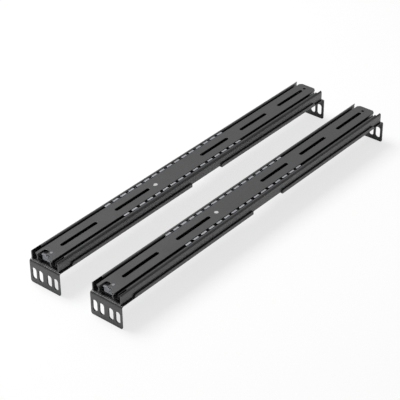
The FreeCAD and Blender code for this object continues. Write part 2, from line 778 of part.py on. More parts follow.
def build_inner_balls(doc, sheet, rail):
    """Balls between the intermediate and the inner member."""
    first = sheet.inner_cage_start + sheet.inner_cage_pitch * 0.5
    places = [first + sheet.inner_cage_pitch * number for number in range(INNER_WINDOWS)]
    high = slide_floor(sheet) + sheet.inner_ball_high
    return build_balls(doc, sheet, rail, "inner_balls", inner_ball_reach(sheet), high,
                       sheet.inner_ball, places)


# ---------------------------------------------------------------- lever and small pieces


def build_release_lever(doc, sheet, rail):
    """Flat lever under the plate with a finger tab bent down at its front."""
    body = new_body(doc, rail, "release_lever")
    under = slide_floor(sheet) + sheet.slide_thick - sheet.inner_sheet
    low = under - sheet.lever_gap - sheet.lever_thick
    front = sheet.inner_front + sheet.lever_front
    neck = front + sheet.lever_head
    rear = front + sheet.lever_long
    plan = new_sketch(body, "Plan", "XY_Plane", low)
    corners = [
        (-sheet.lever_half, front),
        (sheet.lever_half, front),
        (sheet.lever_half, neck),
        (sheet.lever_neck, neck + (sheet.lever_half - sheet.lever_neck)),
        (sheet.lever_neck, rear),
        (-sheet.lever_neck, rear),
        (-sheet.lever_neck, neck + (sheet.lever_half - sheet.lever_neck)),
        (-sheet.lever_half, neck),
    ]
    draw_outline(plan, corners)
    add_pad(body, plan, sheet.lever_thick)
    tab = new_sketch(body, "Tab", "XY_Plane", low)
    tab_half = sheet.lever_tab_wide * 0.5
    draw_box(tab, -tab_half, tab_half, front, front + sheet.lever_thick)
    add_pad(body, tab, sheet.lever_tab_tall - sheet.lever_thick, reverse=True)
    rear_corners = [(-sheet.lever_neck, rear), (sheet.lever_neck, rear)]
    add_round(body, 2, rear_corners, sheet.lever_round)
    hole = new_sketch(body, "PinHole", "XY_Plane", low + sheet.lever_thick * 0.5)
    pin_across, pin_along = pin_place(sheet)
    draw_circle(hole, pin_across, pin_along, sheet.pin_radius + sheet.pin_play)
    add_pocket(body, hole, sheet.lever_thick * 2, both_ways=True)
    return put_in_rail(body, sheet, rail)


def build_lever_rivet(doc, sheet, rail):
    """The pin that the release lever turns on, its upper head flush with the plate."""
    body = new_body(doc, rail, "lever_rivet")
    across, along = pin_place(sheet)
    top = slide_floor(sheet) + sheet.slide_thick
    seat = top - sheet.pin_head_thick
    low = top - sheet.inner_sheet - sheet.lever_gap * 2 - sheet.lever_thick
    upper = new_sketch(body, "UpperHead", "XY_Plane", seat)
    draw_circle(upper, across, along, sheet.pin_head)
    add_pad(body, upper, sheet.pin_head_thick)
    shank = new_sketch(body, "Shank", "XY_Plane", low)
    draw_circle(shank, across, along, sheet.pin_radius)
    add_pad(body, shank, seat - low)
    tail = new_sketch(body, "Tail", "XY_Plane", low)
    draw_circle(tail, across, along, sheet.pin_head)
    add_pad(body, tail, sheet.pin_head_thick, reverse=True)
    return put_in_rail(body, sheet, rail)


def build_guide_rivet(doc, sheet, rail):
    """The rivet that holds the guide block, its head flush with the plate."""
    body = new_body(doc, rail, "guide_rivet")
    top = slide_floor(sheet) + sheet.slide_thick
    seat = top - sheet.pin_head_thick
    low = top - sheet.inner_sheet - sheet.guide_grip
    centre = as_size(0)
    upper = new_sketch(body, "UpperHead", "XY_Plane", seat)
    draw_circle(upper, centre, sheet.guide_back, sheet.guide_head)
    add_pad(body, upper, sheet.pin_head_thick)
    shank = new_sketch(body, "Shank", "XY_Plane", low)
    draw_circle(shank, centre, sheet.guide_back, sheet.pin_radius)
    add_pad(body, shank, seat - low)
    return put_in_rail(body, sheet, rail)


def build_guide_block(doc, sheet, rail):
    """Plastic block under the plate that keeps it over the intermediate member."""
    body = new_body(doc, rail, "guide_block")
    under = slide_floor(sheet) + sheet.slide_thick - sheet.inner_sheet
    plan = new_sketch(body, "Plan", "XY_Plane", under)
    low = sheet.guide_back - sheet.guide_half
    high = sheet.guide_back + sheet.guide_half
    draw_box(plan, -sheet.guide_half, sheet.guide_half, low, high)
    add_pad(body, plan, sheet.guide_tall, reverse=True)
    corners = []
    for across in (-sheet.guide_half, sheet.guide_half):
        corners.append((across, low))
        corners.append((across, high))
    add_round(body, 2, corners, sheet.guide_corner)
    hole = new_sketch(body, "RivetHole", "XY_Plane", under)
    draw_circle(hole, as_size(0), sheet.guide_back, sheet.pin_radius + sheet.pin_play)
    add_pocket(body, hole, sheet.guide_hole)
    return put_in_rail(body, sheet, rail)


def build_rear_bumper(doc, sheet, rail):
    """Plastic buffer that the intermediate member closes on."""
    body = new_body(doc, rail, "rear_bumper")
    web = slide_floor(sheet) + sheet.outer_sheet
    rear = sheet.rail_length - sheet.rear_setback
    plan = new_sketch(body, "Plan", "XY_Plane", web)
    half = sheet.bumper_wide * 0.5
    front = rear - sheet.bumper_long
    draw_box(plan, -half, half, front, rear)
    add_pad(body, plan, sheet.bumper_tall)
    corners = [(-half, front), (half, front), (-half, rear), (half, rear)]
    add_round(body, 2, corners, sheet.bumper_corner)
    return put_in_rail(body, sheet, rail)


def build_studs(doc, sheet, rail, end):
    """Clinch studs, heads flush in the outer member, shanks through the bracket."""
    web = (slide_floor(sheet) + sheet.outer_sheet).number
    low = (sheet.flange_drop - sheet.stud_tail).number
    down = FreeCAD.Vector(0, 0, -1)
    solids = []
    for place in stud_places(sheet, end):
        centre = FreeCAD.Vector(0, place.number, web)
        head = Part.makeCylinder(sheet.stud_head.number, sheet.stud_sink.number, centre, down)
        shank = Part.makeCylinder(sheet.stud_radius.number, web - low, centre, down)
        solids.append(head.fuse(shank).removeSplitter())
    return add_shape(doc, sheet, rail, f"{end}_studs", solids)


def build_nuts(doc, sheet, rail, end):
    """Hexagon nuts under the bracket's base."""
    thick = sheet.nut_thick.number
    low = sheet.flange_drop.number - thick
    bore = (sheet.stud_radius + sheet.stud_play).number
    turn = math.tau / NUT_SIDES
    corner_reach = sheet.nut_flats.number / 2 / math.cos(turn / 2)
    solids = []
    for place in stud_places(sheet, end):
        centre = FreeCAD.Vector(0, place.number, low)
        corners = []
        for number in range(NUT_SIDES + 1):
            across = corner_reach * math.cos(turn * number)
            along = corner_reach * math.sin(turn * number)
            corners.append(centre + FreeCAD.Vector(across, along, 0))
        hexagon = Part.Face(Part.makePolygon(corners)).extrude(FreeCAD.Vector(0, 0, thick))
        solids.append(hexagon.cut(Part.makeCylinder(bore, thick, centre)))
    return add_shape(doc, sheet, rail, f"{end}_nuts", solids)


# ---------------------------------------------------------------- the pair


def build_rail(doc, sheet, rail):
    """All sub-parts of one rail."""
    items = []
    for end in ("front", "rear"):
        items.append(build_bracket(doc, sheet, rail, end))
        items.append(build_studs(doc, sheet, rail, end))
        items.append(build_nuts(doc, sheet, rail, end))
    items.append(build_outer_member(doc, sheet, rail))
    items.append(build_rear_bumper(doc, sheet, rail))
    items.append(build_outer_cage(doc, sheet, rail))
    items.append(build_outer_balls(doc, sheet, rail))
    items.append(build_intermediate_member(doc, sheet, rail))
    items.append(build_inner_cage(doc, sheet, rail))
    items.append(build_inner_balls(doc, sheet, rail))
    items.append(build_inner_member(doc, sheet, rail))
    items.append(build_release_lever(doc, sheet, rail))
    items.append(build_lever_rivet(doc, sheet, rail))
    items.append(build_guide_block(doc, sheet, rail))
    items.append(build_guide_rivet(doc, sheet, rail))
    return items


def check(doc, items):
    """Stop if anything in the document failed, before a file is written."""
    for item in doc.Objects:
        if "Invalid" in item.State or "Error" in item.State:
            raise RuntimeError(f"{item.Label} failed: {item.State}")
    for item in items:
        if item.Shape.isNull() or not item.Shape.isValid():
            raise RuntimeError(f"{item.Label} has no valid shape")


def main():
    """Build both rails and write one file for each sub-part."""
    doc = FreeCAD.newDocument("ServerRails")
    sheet = Sheet(doc)
    items = []
    for rail in RAILS:
        items.extend(build_rail(doc, sheet, rail))
    doc.recompute()
    check(doc, items)
    os.makedirs("parts", exist_ok=True)
    for item in items:
        item.Shape.exportStep(f"parts/{item.Label}.step")
        print(item.Label, len(item.Shape.Solids), round(item.Shape.Volume, 1))


main()
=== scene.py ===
# %% [markdown]
# # A pair of ball-bearing server rails, dressed for a picture
#
# Two drawer-style rails lie side by side on a white table. Each one is three nested steel sections
# that run on small balls, held at both ends by a black sheet-steel bracket with a flange.
#
# Every solid piece already exists as an exact model, so this lesson leaves the shapes alone.
# It gives each piece the surface that its factory would have given it, adds the nose of a plastic
# buffer that the model leaves out, and sets up a table, a lamp and a camera.

import math

import bmesh
import bpy
from mathutils import Matrix, Vector


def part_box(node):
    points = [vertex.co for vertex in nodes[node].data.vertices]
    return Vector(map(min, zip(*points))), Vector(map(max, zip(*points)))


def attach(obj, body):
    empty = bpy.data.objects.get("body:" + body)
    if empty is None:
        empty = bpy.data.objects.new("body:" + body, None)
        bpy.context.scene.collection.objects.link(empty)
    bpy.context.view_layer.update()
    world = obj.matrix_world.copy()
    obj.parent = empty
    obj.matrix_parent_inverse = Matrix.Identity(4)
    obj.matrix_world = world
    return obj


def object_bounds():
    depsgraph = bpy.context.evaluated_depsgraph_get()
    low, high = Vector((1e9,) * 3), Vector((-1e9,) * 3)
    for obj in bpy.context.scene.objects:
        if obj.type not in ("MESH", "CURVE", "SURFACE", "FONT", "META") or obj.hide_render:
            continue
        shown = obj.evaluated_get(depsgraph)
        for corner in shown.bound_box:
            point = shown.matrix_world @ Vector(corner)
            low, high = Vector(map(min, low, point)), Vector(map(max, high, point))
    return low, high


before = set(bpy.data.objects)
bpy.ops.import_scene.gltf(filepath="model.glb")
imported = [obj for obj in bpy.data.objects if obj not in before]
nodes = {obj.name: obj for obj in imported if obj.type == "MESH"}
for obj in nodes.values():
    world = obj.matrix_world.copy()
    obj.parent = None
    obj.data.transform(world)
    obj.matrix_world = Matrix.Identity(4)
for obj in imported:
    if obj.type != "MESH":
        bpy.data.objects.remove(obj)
model_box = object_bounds()
print(len(nodes), "pieces, box", [round(value, 4) for value in model_box[1] - model_box[0]])

# %% [markdown]
# ## Units
#
# Blender counts in metres and the drawings of a rail are in millimetres. A whole scene could be
# built in millimetres, but the model comes in metres, and so does the light: a lamp's watts are
# for a scene in metres. One helper turns millimetres into metres instead, so that every size
# below can be compared with a ruler.

# %% Millimetres
RAILS = ("left", "right")


def mm(length):
    """Metres from millimetres."""
    return length * 0.001


front_corner, back_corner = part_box("left_outer_member")
print("one outer section is", round((back_corner.y - front_corner.y) / mm(1)), "mm long")

# %% [markdown]
# ## Colours
#
# Paint makers give colours as hex codes, which are written for screens. The renderer adds light,
# so it needs linear values. They could be worked out once and typed in, but a hex code can be
# held against a paint card. So the codes stay, and every colour goes through one function.

# %% Colours
def linear(code):
    """Linear red, green, blue and alpha from a hex colour such as #2B2B2D."""
    parts = [int(code[place : place + 2], 16) / 255 for place in (1, 3, 5)]
    curve = [v / 12.92 if v <= 0.04045 else ((v + 0.055) / 1.055) ** 2.4 for v in parts]
    return (*curve, 1.0)


print("mid grey #808080 is", round(linear("#808080")[0], 3), "in linear light")

# %% [markdown]
# ## Building a material
#
# A material is a little graph of nodes. It could be drawn by hand in the shader editor, but a
# script can be read and run again. One helper adds a node, sets its values and joins its inputs,
# so a whole graph reads from top to bottom like a recipe.

# %% Helpers for materials
def add(tree, kind, inputs=None, **settings):
    """Add a node. An input is either a plain value or another node's output socket."""
    node = tree.nodes.new(kind)
    for name, value in settings.items():
        setattr(node, name, value)
    for name, value in (inputs or {}).items():
        if isinstance(value, bpy.types.NodeSocket):
            tree.links.new(value, node.inputs[name])
        else:
            node.inputs[name].default_value = value
    return node


def new_material(name):
    """A material and its node tree, with no nodes in it yet."""
    material = bpy.data.materials.new(name)
    material.use_nodes = True
    material.node_tree.nodes.clear()
    return material, material.node_tree


def finish_material(tree, shader):
    """Join a shader to the material's surface."""
    add(tree, "ShaderNodeOutputMaterial", {"Surface": shader.outputs[0]})


print("node helpers are ready")

# %% [markdown]
# ## Edges that have been rounded by the press
#
# Sheet that has been punched and folded never has a knife edge. Powder also draws back from sharp
# corners as it melts, so an edge is a touch smoother than the flat beside it. The paler colour
# given to an edge is partly that thinner powder and partly a painted highlight.
#
# Real fillets on hundreds of edges would make the meshes heavy, and pale edges painted by hand
# would need a map of every piece. The Bevel node serves for both. It gives a normal that is
# rounded over a chosen radius, and comparing that with the true normal tells how close a point
# lies to an edge, whichever way it is looked at.

# %% How near an edge is
EDGE_SAMPLES = 6
EDGE_BEGINS = 0.99
EDGE_FULL = 0.8


def near_edge(tree, rounded):
    """0 on a flat and 1 on an edge, from how far a rounded normal leans from the true one."""
    true = add(tree, "ShaderNodeNewGeometry")
    lean = add(
        tree,
        "ShaderNodeVectorMath",
        {0: rounded, 1: true.outputs["Normal"]},
        operation="DOT_PRODUCT",
    )
    mask = add(
        tree,
        "ShaderNodeMapRange",
        {"Value": lean.outputs["Value"], "From Min": EDGE_BEGINS, "From Max": EDGE_FULL},
        clamp=True,
    )
    return mask.outputs["Result"]


leans = [round(math.degrees(math.acos(cosine))) for cosine in (EDGE_BEGINS, EDGE_FULL)]
print("an edge begins at a lean of", leans[0], "degrees and is full at", leans[1])

# %% [markdown]
# ## Where the balls have rolled
#
# A ball touches the wall of its groove along one line, and after a few trips it has polished a
# narrow track there. Painting such a track by hand would need a map of the surface. Instead, the
# track is wherever the surface lies about one ball radius from the line of the ball centres.

# %% Rows of balls
BALL_ROWS = ("outer_balls", "inner_balls")


def ball_row(name):
    """How far a row of balls runs from its rail's middle, how high, and the balls' radius."""
    low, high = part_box(f"right_{name}")
    radius = (high.z - low.z) / 2
    return (high.x - low.x) / 2 - radius, low.z + radius, radius


for row in BALL_ROWS:
    print(row, [round(value / mm(1), 2) for value in ball_row(row)], "mm across, high, radius")

# %% [markdown]
# There are four rows of outer balls and four of inner ones, two of each to a rail. Their tracks
# could be drawn one by one, but the grooves of one rail mirror those of the other about x = 0, and
# each rail's grooves are the same on both sides of its middle. Taking a place without its sign
# folds one rail onto the other, and doing so again from the rail's middle folds its two sides
# together. Then one row stands for all four.

# %% Fold the rails together
def one_side(tree, place):
    """A place measured from its rail's middle, with every side folded onto one."""
    low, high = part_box("right_outer_member")
    rail_middle = Vector(((low.x + high.x) / 2, 0, 0))
    either_rail = add(tree, "ShaderNodeVectorMath", {0: place}, operation="ABSOLUTE")
    from_middle = add(
        tree,
        "ShaderNodeVectorMath",
        {0: either_rail.outputs[0], 1: rail_middle},
        operation="SUBTRACT",
    )
    either_side = add(
        tree, "ShaderNodeVectorMath", {0: from_middle.outputs[0]}, operation="ABSOLUTE"
    )
    return either_side.outputs[0]


right_low, right_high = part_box("right_outer_member")
print("each rail's middle is", round((right_low.x + right_high.x) / 2 / mm(1), 1), "mm from x = 0")

# %% Ball tracks
TRACK_INNER = mm(0.3)
TRACK_OUTER = mm(0.7)


def track_of(tree, side_place, name):
    """1 where one row of balls rolls on the surface, and 0 elsewhere."""
    row_across, row_high, radius = ball_row(name)
    from_row = add(
        tree,
        "ShaderNodeVectorMath",
        {0: side_place, 1: (row_across, 0, row_high)},
        operation="SUBTRACT",
    )
    section = add(
        tree, "ShaderNodeVectorMath", {0: from_row.outputs[0], 1: (1, 0, 1)}, operation="MULTIPLY"
    )
    distance = add(tree, "ShaderNodeVectorMath", {0: section.outputs[0]}, operation="LENGTH")
    track = add(
        tree,
        "ShaderNodeMapRange",
        {
            "Value": distance.outputs["Value"],
            "From Min": radius + TRACK_INNER,
            "From Max": radius + TRACK_OUTER,
            "To Min": 1.0,
            "To Max": 0.0,
        },
    )
    return track.outputs["Result"]


def track_mask(tree, place):
    """1 where any row of balls rolls on the surface, in both rails, and 0 elsewhere."""
    side_place = one_side(tree, place)
    tracks = {slot: track_of(tree, side_place, row) for slot, row in enumerate(BALL_ROWS)}
    return add(tree, "ShaderNodeMath", tracks, operation="MAXIMUM").outputs[0]


print("a track is bright up to", round(TRACK_INNER / mm(1), 2), "mm from the ball,", end=" ")
print("and gone at", round(TRACK_OUTER / mm(1), 2), "mm")

# %% [markdown]
# ## Black powder coat
#
# The brackets and the outer and inner sections are painted with epoxy-polyester powder, sprayed
# on dry and melted at about 190 degrees. It leaves a satin black skin 60 to 80 microns thick.
#
# Up close the skin is not flat: it has orange peel, soft dimples about 1.5 mm apart, because the
# melt stops flowing before it has levelled. The eye reads it as a slightly broken reflection.
# The grains of powder themselves, 0.04 mm across, leave a faint speckle, which gathers in clouds.
#
# The hidden middle section is only dipped, which is cheaper and duller. Its darker black is also
# painted shade, for the shade inside the channel.
#
# A picture of real paint could be wrapped round each piece, but it would show a join at every
# fold. Noise that fills space needs no wrapping, and runs across a fold as real paint does.

# %% Paint colours and sizes
POWDER_BLACK = "#1E1E20"
# The paler edge colours of powder and dip are thin coat and a painted highlight on edges.
POWDER_EDGE_THIN_AND_HIGHLIGHT = "#4C4C4F"
# The dip's darker black is painted shade for the inside of the channel.
DIP_BLACK_PAINTED_SHADE = "#141415"
DIP_EDGE_THIN_AND_HIGHLIGHT = "#38383A"
PAINT_DUST = "#28282A"
PRESSED_CORNER = mm(0.5)

# Real dimples and grains are too fine to show, so the dimples are drawn twice as wide as they
# are, and the grains fifteen times. Real dimples are a few microns deep, and these are deeper,
# because a dimple that is drawn wide has to be deep to break a reflection.
PEEL = mm(2 * 1.5)
PEEL_DEPTH = mm(0.16)
PEEL_STRENGTH = 0.7
GRAIN = mm(15 * 0.04)
CLOUD = mm(45.0)

# Clear resin alone has an IOR of 1.5, which the dip keeps. Fine mica in the powder lifts its
# gloss, so its IOR is matched higher.
DIP_IOR = 1.5
POWDER_IOR = 1.88
print("dimples", round(PEEL / mm(1), 2), "mm and grains", round(GRAIN / mm(1), 2), "mm wide")

# %% Speckle and orange peel
def speckle(tree, place):
    """Grains of powder, thicker in some clouds than in others."""
    cloud = add(
        tree,
        "ShaderNodeTexNoise",
        {"Vector": place, "Scale": 1 / CLOUD, "Detail": 3.0, "Roughness": 0.55},
    )
    grain = add(tree, "ShaderNodeTexNoise", {"Vector": place, "Scale": 1 / GRAIN, "Detail": 1.0})
    speckled = add(
        tree,
        "ShaderNodeMath",
        {0: cloud.outputs["Fac"], 1: grain.outputs["Fac"]},
        operation="MULTIPLY",
    )
    return speckled.outputs[0]


def orange_peel(tree, place, rounded):
    """The normal of a dimpled skin that also follows the rounded edges."""
    peel = add(
        tree,
        "ShaderNodeTexNoise",
        {"Vector": place, "Scale": 1 / PEEL, "Detail": 2.0, "Roughness": 0.45},
    )
    dimples = add(
        tree,
        "ShaderNodeBump",
        {
            "Strength": PEEL_STRENGTH,
            "Distance": PEEL_DEPTH,
            "Height": peel.outputs["Fac"],
            "Normal": rounded,
        },
    )
    return dimples.outputs["Normal"]


print("a dimple is", round(PEEL_DEPTH / mm(1), 2), "mm deep and a cloud", end=" ")
print(round(CLOUD / mm(1)), "mm wide")

# %% [markdown]
# The speckle turns the black a little greyer, and a little rougher too. Towards an edge it turns
# paler, partly because the skin is thin there and partly as a painted highlight. One noise for
# both colour and gloss costs less than two, and it is right as well: a grain that melted late is
# both greyer and duller.

# %% Colour and gloss of the paint
DUST_FULL = 0.5
# How much an edge pales: thin coat and a painted highlight.
EDGE_THIN_AND_HIGHLIGHT_SHARE = 0.55
SPECKLE_LOW = 0.12
SPECKLE_HIGH = 0.4
GLOSSIER = 0.07
DULLER = 0.08


def paint_colour(tree, speckled, edge, colour, edge_thin_and_highlight_colour):
    """Black, greyer in the speckle, and paler at an edge for thin powder and a painted highlight.
    """
    dust = add(tree, "ShaderNodeMapRange", {"Value": speckled, "From Max": DUST_FULL})
    tint = add(
        tree,
        "ShaderNodeMix",
        {"Factor": dust.outputs["Result"], "A": linear(colour), "B": linear(PAINT_DUST)},
        data_type="RGBA",
    )
    # Towards an edge: thinner coat, and a painted highlight.
    thin_and_highlight = add(tree, "ShaderNodeMath", {0: edge, 1: EDGE_THIN_AND_HIGHLIGHT_SHARE}, operation="MULTIPLY")
    paint = add(
        tree,
        "ShaderNodeMix",
        {"Factor": thin_and_highlight.outputs[0], "A": tint.outputs["Result"], "B": linear(edge_thin_and_highlight_colour)},
        data_type="RGBA",
    )
    return paint.outputs["Result"]


def paint_gloss(tree, speckled, roughness):
    """Roughness, a little higher in the speckle."""
    gloss = add(
        tree,
        "ShaderNodeMapRange",
        {
            "Value": speckled,
            "From Min": SPECKLE_LOW,
            "From Max": SPECKLE_HIGH,
            "To Min": roughness - GLOSSIER,
            "To Max": roughness + DULLER,
        },
    )
    return gloss.outputs["Result"]


print("paint pales from", POWDER_BLACK, "on a flat towards", POWDER_EDGE_THIN_AND_HIGHLIGHT, "on an edge")

# %% [markdown]
# Balls wear part of the paint away and leave polished steel. A paler paint could stand for that,
# but steel mirrors what is round it and paint doesn't, so two shaders are mixed along the tracks.

# %% Polished tracks
TRACK_STEEL = "#8C8D90"
TRACK_ROUGHNESS = 0.3
TRACK_WORN = 0.55


def polish_tracks(tree, place, painted):
    """The painted shader, with part of it worn to bare steel where balls roll."""
    steel = add(
        tree,
        "ShaderNodeBsdfPrincipled",
        {"Base Color": linear(TRACK_STEEL), "Roughness": TRACK_ROUGHNESS, "Metallic": 1.0},
    )
    rolled = add(
        tree, "ShaderNodeMath", {0: track_mask(tree, place), 1: TRACK_WORN}, operation="MULTIPLY"
    )
    return add(
        tree,
        "ShaderNodeMixShader",
        {0: rolled.outputs[0], 1: painted.outputs[0], 2: steel.outputs[0]},
    )


print("balls have worn", round(TRACK_WORN * 100), "percent of the paint off their tracks")

# %% The coats of paint
POWDER_ROUGHNESS = 0.38
DIP_ROUGHNESS = 0.6


def make_coat(name, colour, edge_thin_and_highlight_colour, roughness, ior, rolled_on=False):
    """A coat of paint on sheet steel, which balls may have rolled on."""
    material, tree = new_material(name)
    place = add(tree, "ShaderNodeTexCoord").outputs["Object"]
    bevel = add(tree, "ShaderNodeBevel", {"Radius": PRESSED_CORNER}, samples=EDGE_SAMPLES)
    rounded = bevel.outputs["Normal"]
    speckled = speckle(tree, place)
    edge = near_edge(tree, rounded)
    shader = add(
        tree,
        "ShaderNodeBsdfPrincipled",
        {
            "Base Color": paint_colour(tree, speckled, edge, colour, edge_thin_and_highlight_colour),
            "Roughness": paint_gloss(tree, speckled, roughness),
            "IOR": ior,
            "Metallic": 0.0,
            "Normal": orange_peel(tree, place, rounded),
        },
    )
    if rolled_on:
        shader = polish_tracks(tree, place, shader)
    finish_material(tree, shader)
    return material


POWDER = (POWDER_BLACK, POWDER_EDGE_THIN_AND_HIGHLIGHT, POWDER_ROUGHNESS, POWDER_IOR)
DIP_AND_PAINTED_SHADE = (DIP_BLACK_PAINTED_SHADE, DIP_EDGE_THIN_AND_HIGHLIGHT, DIP_ROUGHNESS, DIP_IOR)
powder_coat = make_coat("satin_black_powder_coat", *POWDER)
tracked_coat = make_coat("ball_polished_powder_coat", *POWDER, rolled_on=True)
# The middle section's darker dip is painted shade inside the channel.
dip_coat_painted_shade = make_coat("dull_black_dip_coat_painted_shade", *DIP_AND_PAINTED_SHADE, rolled_on=True)
for coat in (powder_coat, tracked_coat, dip_coat_painted_shade):
    print(coat.name, "has", len(coat.node_tree.nodes), "nodes")

# %% [markdown]
# ## Bright zinc
#
# The ball cages, studs, nuts and rivets are mild steel with 8 microns of zinc plated on from a
# bath. Zinc is bluish white, and it grows as fine crystals, so it is silky and not mirror bright.
# Rolling the strip first leaves faint lines along it, about 0.4 mm apart.
#
# A wave could draw the lines, but it would make them too even. Noise that is drawn out along the
# rail is uneven, as rolled strip is. A second noise gives the cloudy bloom of plating.

# %% Zinc colours and sizes
ZINC = "#DCDFE3"
ZINC_DULL = "#BDC0C5"
ZINC_ROUGHNESS = 0.34
STAMPED_CORNER = mm(0.2)
BLOOM = mm(4.0)

# Real roll lines are too fine to show, so they are drawn twice as far apart, and deeper.
ROLL_LINE = mm(2 * 0.4)
ROLL_DEPTH = mm(0.04)
ROLL_STRENGTH = 0.5
DRAWN_OUT = 0.06
print("roll lines", round(ROLL_LINE / mm(1), 2), "mm apart and", end=" ")
print(round(ROLL_LINE / DRAWN_OUT / mm(1)), "mm long")

# %% Bloom and roll lines
def zinc_bloom(tree, place, colour, dull_colour):
    """Bright zinc with a cloudy, duller bloom in it."""
    bloom = add(
        tree,
        "ShaderNodeTexNoise",
        {"Vector": place, "Scale": 1 / BLOOM, "Detail": 5.0, "Roughness": 0.65},
    )
    tint = add(
        tree,
        "ShaderNodeMix",
        {"Factor": bloom.outputs["Fac"], "A": linear(colour), "B": linear(dull_colour)},
        data_type="RGBA",
    )
    return tint.outputs["Result"]


def roll_lines(tree, place):
    """Faint uneven lines along the rail, as a height."""
    drawn_out = add(tree, "ShaderNodeMapping", {"Vector": place, "Scale": (1.0, DRAWN_OUT, 1.0)})
    lines = add(
        tree,
        "ShaderNodeTexNoise",
        {"Vector": drawn_out.outputs["Vector"], "Scale": 1 / ROLL_LINE, "Detail": 3.0},
    )
    return lines.outputs["Fac"]


print("zinc blooms from", ZINC, "to", ZINC_DULL)

# %% [markdown]
# ## A thread
#
# The studs are M4, with a thread of 0.7 mm pitch. The turns could be cut into the mesh, but that
# is thousands of faces for something smaller than a pea. A wave up the stud, used as a bump,
# makes the light break on each turn, which is enough at this size.

# %% The turns of a thread
THREAD_PITCH = mm(0.7)
THREAD_DEPTH = 0.5  # the thread's depth, as a share of its pitch
WAVE_PERIOD = math.tau / 20  # the wave texture repeats after this much of its own length


def thread_turns(tree, place, pitch, normal):
    """The normal of a thread on an upright stud."""
    turns = add(
        tree,
        "ShaderNodeTexWave",
        {"Vector": place, "Scale": WAVE_PERIOD / pitch},
        bands_direction="Z",
    )
    grooves = add(
        tree,
        "ShaderNodeBump",
        {
            "Strength": 1.0,
            "Distance": pitch * THREAD_DEPTH,
            "Height": turns.outputs["Fac"],
            "Normal": normal,
        },
    )
    return grooves.outputs["Normal"]


stud_low, stud_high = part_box("left_front_studs")
print("a stud has about", round((stud_high.z - stud_low.z) / THREAD_PITCH), "turns")

# %% [markdown]
# ## The lever's tab
#
# The release lever is zinc. Behind its tab it is painted black, as painted shade where the lever
# lies under the plate and shows through the notch, so the tab is bright and the rest of the lever
# black. Two materials on one piece would meet in a hard line. A ramp along the lever fades one
# into the other.

# %% Zinc with painted shade behind the tab
# Painted shade on the lever where it lies under the plate.
LEVER_PAINTED_SHADE = "#242427"
LEVER_SHEET = mm(1.4)
SHADE_FADE = mm(2.0)


def shade_behind_tab(tree, place, zinc, shade_from):
    """Bare zinc at the front, as far back as a place along the rail, and painted shade behind it.
    """
    along = add(tree, "ShaderNodeSeparateXYZ", {"Vector": place})
    shaded = add(
        tree,
        "ShaderNodeMapRange",
        {"Value": along.outputs["Y"], "From Min": shade_from, "From Max": shade_from + SHADE_FADE},
    )
    tint = add(
        tree,
        "ShaderNodeMix",
        {"Factor": shaded.outputs["Result"], "A": zinc, "B": linear(LEVER_PAINTED_SHADE)},
        data_type="RGBA",
    )
    return tint.outputs["Result"]


# The tab is one sheet thick, and is bent down at the very front of the lever.
tab_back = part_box("left_release_lever")[0].y + LEVER_SHEET
rail_front = model_box[0].y
print("the tab's back is", round((tab_back - rail_front) / mm(1), 1), "mm behind the rail's front")

# %% [markdown]
# ## The zinc finishes
#
# One recipe makes all the zinc, because every piece of it starts in the same bath. What happened
# to a piece afterwards sets it apart. The press and the balls scuff the cages, so they are greyer
# and rougher. The lever's pin is rubbed dull where the lever turns. The rivet's head was struck
# by a hammer die, which burnishes it, so it is paler and glossier.

# %% The recipe for zinc
LINES_LOW = 0.3
LINES_HIGH = 0.7
LINE_GLOSSIER = 0.06
LINE_DULLER = 0.08


def make_zinc(name, colour, dull_colour, roughness, thread_pitch=None, shade_from=None):
    """Electroplated zinc on rolled strip, on an upright thread, or with painted shade behind a
    place.
    """
    material, tree = new_material(name)
    place = add(tree, "ShaderNodeTexCoord").outputs["Object"]
    bevel = add(tree, "ShaderNodeBevel", {"Radius": STAMPED_CORNER}, samples=EDGE_SAMPLES)
    lines = roll_lines(tree, place)
    tint = zinc_bloom(tree, place, colour, dull_colour)
    if shade_from is not None:
        tint = shade_behind_tab(tree, place, tint, shade_from)
    gloss = add(
        tree,
        "ShaderNodeMapRange",
        {
            "Value": lines,
            "From Min": LINES_LOW,
            "From Max": LINES_HIGH,
            "To Min": roughness - LINE_GLOSSIER,
            "To Max": roughness + LINE_DULLER,
        },
    )
    scratches = add(
        tree,
        "ShaderNodeBump",
        {
            "Strength": ROLL_STRENGTH,
            "Distance": ROLL_DEPTH,
            "Height": lines,
            "Normal": bevel.outputs["Normal"],
        },
    )
    normal = scratches.outputs["Normal"]
    if thread_pitch is not None:
        normal = thread_turns(tree, place, thread_pitch, normal)
    shader = add(
        tree,
        "ShaderNodeBsdfPrincipled",
        {
            "Base Color": tint,
            "Roughness": gloss.outputs["Result"],
            "Metallic": 1.0,
            "Normal": normal,
        },
    )
    finish_material(tree, shader)
    return material


print("the recipe for zinc is ready")

# %% Every kind of zinc
# Each is a colour, the duller colour of its bloom, and a roughness.
PLATED = (ZINC, ZINC_DULL, ZINC_ROUGHNESS)
SCUFFED = ("#C6C8CC", "#9FA1A6", 0.42)
LEVER_ZINC = ("#94969A", "#727479", 0.4)
RUBBED = ("#A3A5A9", "#7C7E83", 0.4)
HAMMERED = ("#FAFAFB", "#E6E7E9", 0.24)

bright_zinc = make_zinc("bright_zinc_plate", *PLATED)
threaded_zinc = make_zinc("zinc_plated_thread", *PLATED, thread_pitch=THREAD_PITCH)
rolled_zinc = make_zinc("rolled_zinc_strip", *SCUFFED)
# The lever is zinc, painted black behind its tab as shade under the plate.
lever_zinc_and_shade = make_zinc("lever_zinc_painted_shade", *LEVER_ZINC, shade_from=tab_back)
pin_zinc = make_zinc("dull_zinc_pin", *RUBBED)
hammered_zinc = make_zinc("hammered_rivet_head", *HAMMERED)
for plated in (bright_zinc, threaded_zinc, rolled_zinc, lever_zinc_and_shade, pin_zinc, hammered_zinc):
    print(plated.name, "has", len(plated.node_tree.nodes), "nodes")

